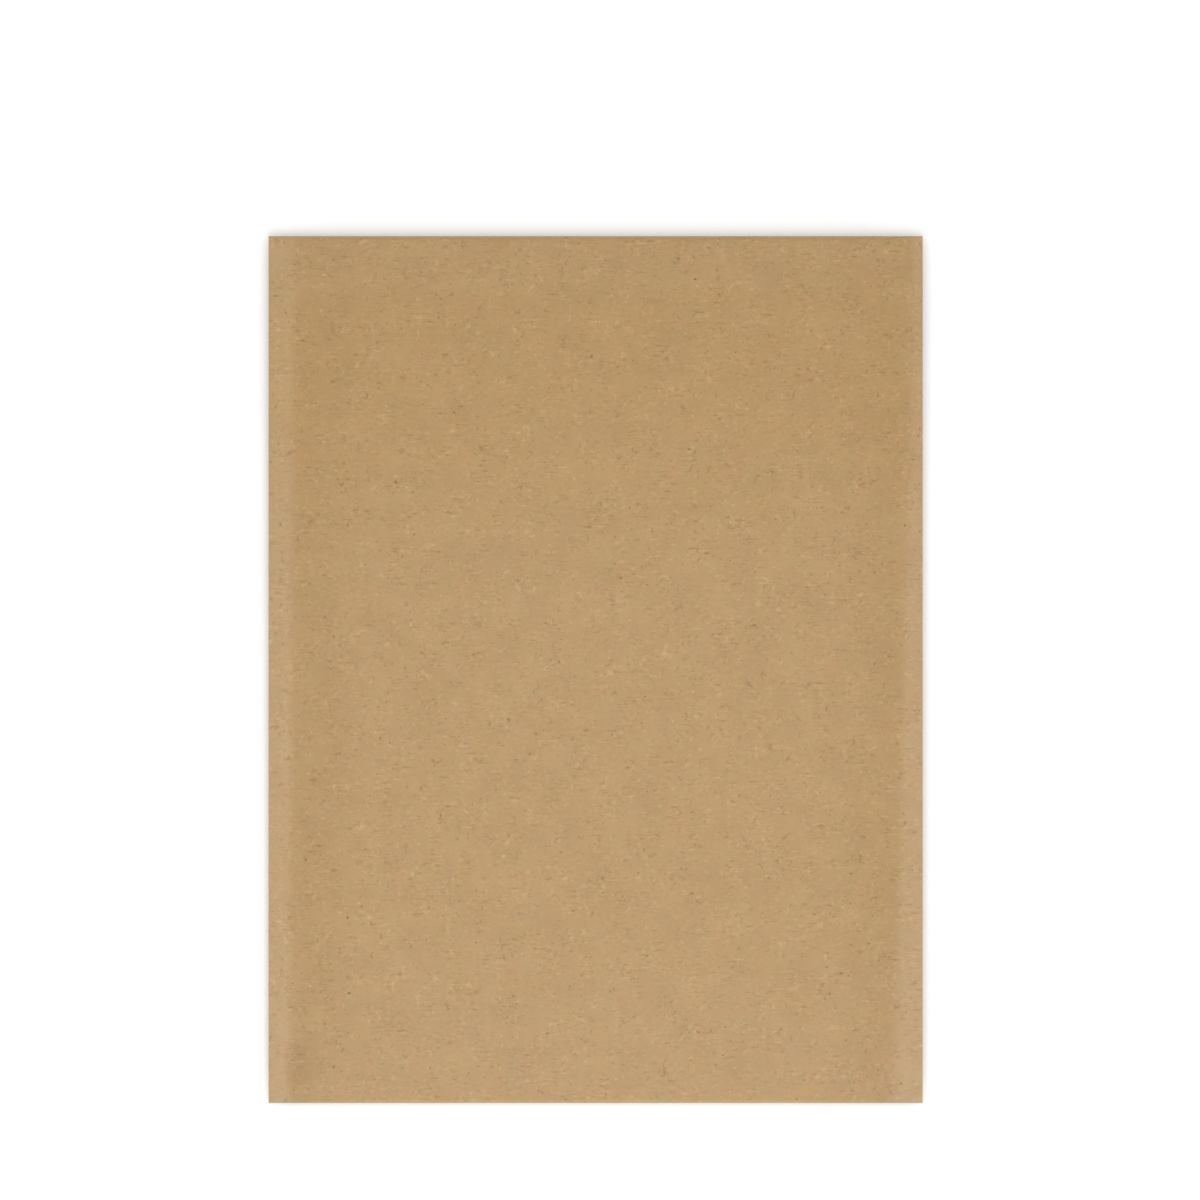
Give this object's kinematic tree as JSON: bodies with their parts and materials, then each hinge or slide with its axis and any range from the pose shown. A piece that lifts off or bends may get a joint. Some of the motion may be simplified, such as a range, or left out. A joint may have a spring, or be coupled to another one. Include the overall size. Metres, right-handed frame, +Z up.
{
  "type": "padded envelope",
  "caption": "Flat self-seal mailing envelope of folded brown kraft paper, heat-sealed down both sides and lined with air-bubble film, its flap folded over behind.",
  "frame": {"origin": "on the surface that the envelope lies on, under the middle of its outline", "axes": "+X across the envelope, +Y up the envelope towards the fold that the flap turns over, +Z up out of the address side, away from the surface"},
  "size_m": [0.17, 0.2254, 0.0066],
  "materials": {
    "kraft_paper": "matt recycled brown kraft paper with fine dark and pale flecks and short fibres, a faint sheen, paler and smoother where the sides are heat-sealed",
    "bubble_film": "clear glossy polyethylene air-bubble film",
    "adhesive": "tacky pale amber pressure-sensitive glue",
    "release_paper": "off-white silicone-coated paper, slightly shiny"
  },
  "bodies": {
    "root": {"kraft_sheet": "kraft_paper", "bubble_lining": "bubble_film", "adhesive_strip": "adhesive", "release_liner": "release_paper"}
  },
  "joints": []
}
